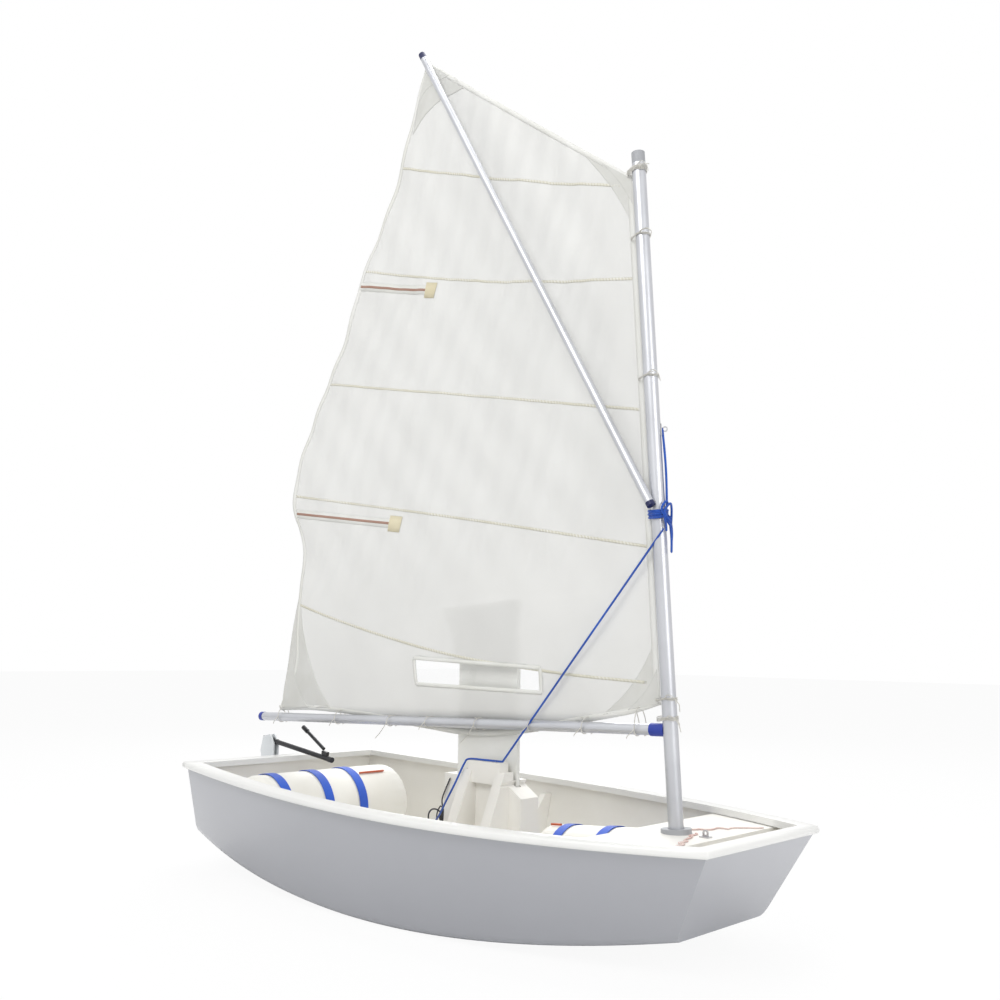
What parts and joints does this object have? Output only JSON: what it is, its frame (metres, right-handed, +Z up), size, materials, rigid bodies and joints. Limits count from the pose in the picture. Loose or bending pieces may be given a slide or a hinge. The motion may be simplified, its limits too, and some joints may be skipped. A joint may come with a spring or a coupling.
{
  "type": "sailing dinghy",
  "caption": "Small blunt-bowed pram dinghy with sprit sail, boom, raised daggerboard, short rudder with tiller, and strapped buoyancy bags.",
  "frame": {"origin": "centre of the bounding box in plan, at the lowest point of the hull's bottom", "axes": "+X to the bow, +Y to port, +Z up"},
  "size_m": [2.55, 1.1344, 3.2189],
  "materials": {
    "hull_gelcoat": "light grey gelcoat, glossy",
    "rail_white": "white gelcoat, glossy",
    "moulding_white": "warm white gelcoat",
    "collar_grey": "grey moulded collar",
    "fitting_steel": "plain stainless steel",
    "bag_white": "white coated cloth, satin",
    "strap_blue": "blue webbing",
    "tube_red": "orange-red soft tube",
    "block_black": "black plastic",
    "spar_silver": "satin anodised",
    "plug_dark": "dark grey plastic",
    "cap_blue": "deep blue plastic",
    "cap_navy": "near-black blue plastic",
    "rope_blue": "bright blue braided rope",
    "sailcloth": "translucent off-white sailcloth",
    "board_white": "white laminate",
    "head_white": "translucent white plastic cheeks",
    "tiller_black": "black anodised tube"
  },
  "bodies": {
    "hull": {"hull_shell": "hull_gelcoat", "gunwale": "rail_white", "mast_thwart": "moulding_white", "mast_collar": "collar_grey", "mast_step": "moulding_white", "painter_eye": "fitting_steel", "midship_frame": "moulding_white", "daggerboard_case": "moulding_white", "stern_bag": "bag_white", "bow_bag": "bag_white", "stern_bag_straps": "strap_blue", "bow_bag_straps": "strap_blue", "inflation_tubes": "tube_red", "sheet_block": "block_black", "transom_gudgeons": "fitting_steel"},
    "rig": {"mast": "spar_silver", "mast_plug": "plug_dark", "mast_eye": "fitting_steel", "boom": "spar_silver", "boom_jaw": "cap_blue", "boom_end_cap": "cap_blue", "sprit": "spar_silver", "sprit_caps": "cap_navy", "snotter_rope": "rope_blue", "sail": "sailcloth"},
    "rudder": {"rudder_blade": "board_white", "rudder_head": "head_white", "rudder_pintles": "fitting_steel", "tiller": "tiller_black", "tiller_joint": "block_black", "tiller_extension": "tiller_black"},
    "board": {"daggerboard": "board_white", "board_head": "board_white"}
  },
  "joints": [
    {"name": "rig_swing", "type": "hinge", "parent": "hull", "child": "rig", "pos_m": [0.9886, 0, 0.093], "axis": [-0.057, 0, 0.9984], "range_deg": [0, 80]},
    {"name": "rudder_turn", "type": "hinge", "parent": "hull", "child": "rudder", "pos_m": [-1.061, 0, 0.3], "axis": [0, 0, 1], "range_deg": [-45, 45]},
    {"name": "board_slide", "type": "slide", "parent": "hull", "child": "board", "axis": [0, 0, -1], "range_m": [0, 0.34]}
  ]
}
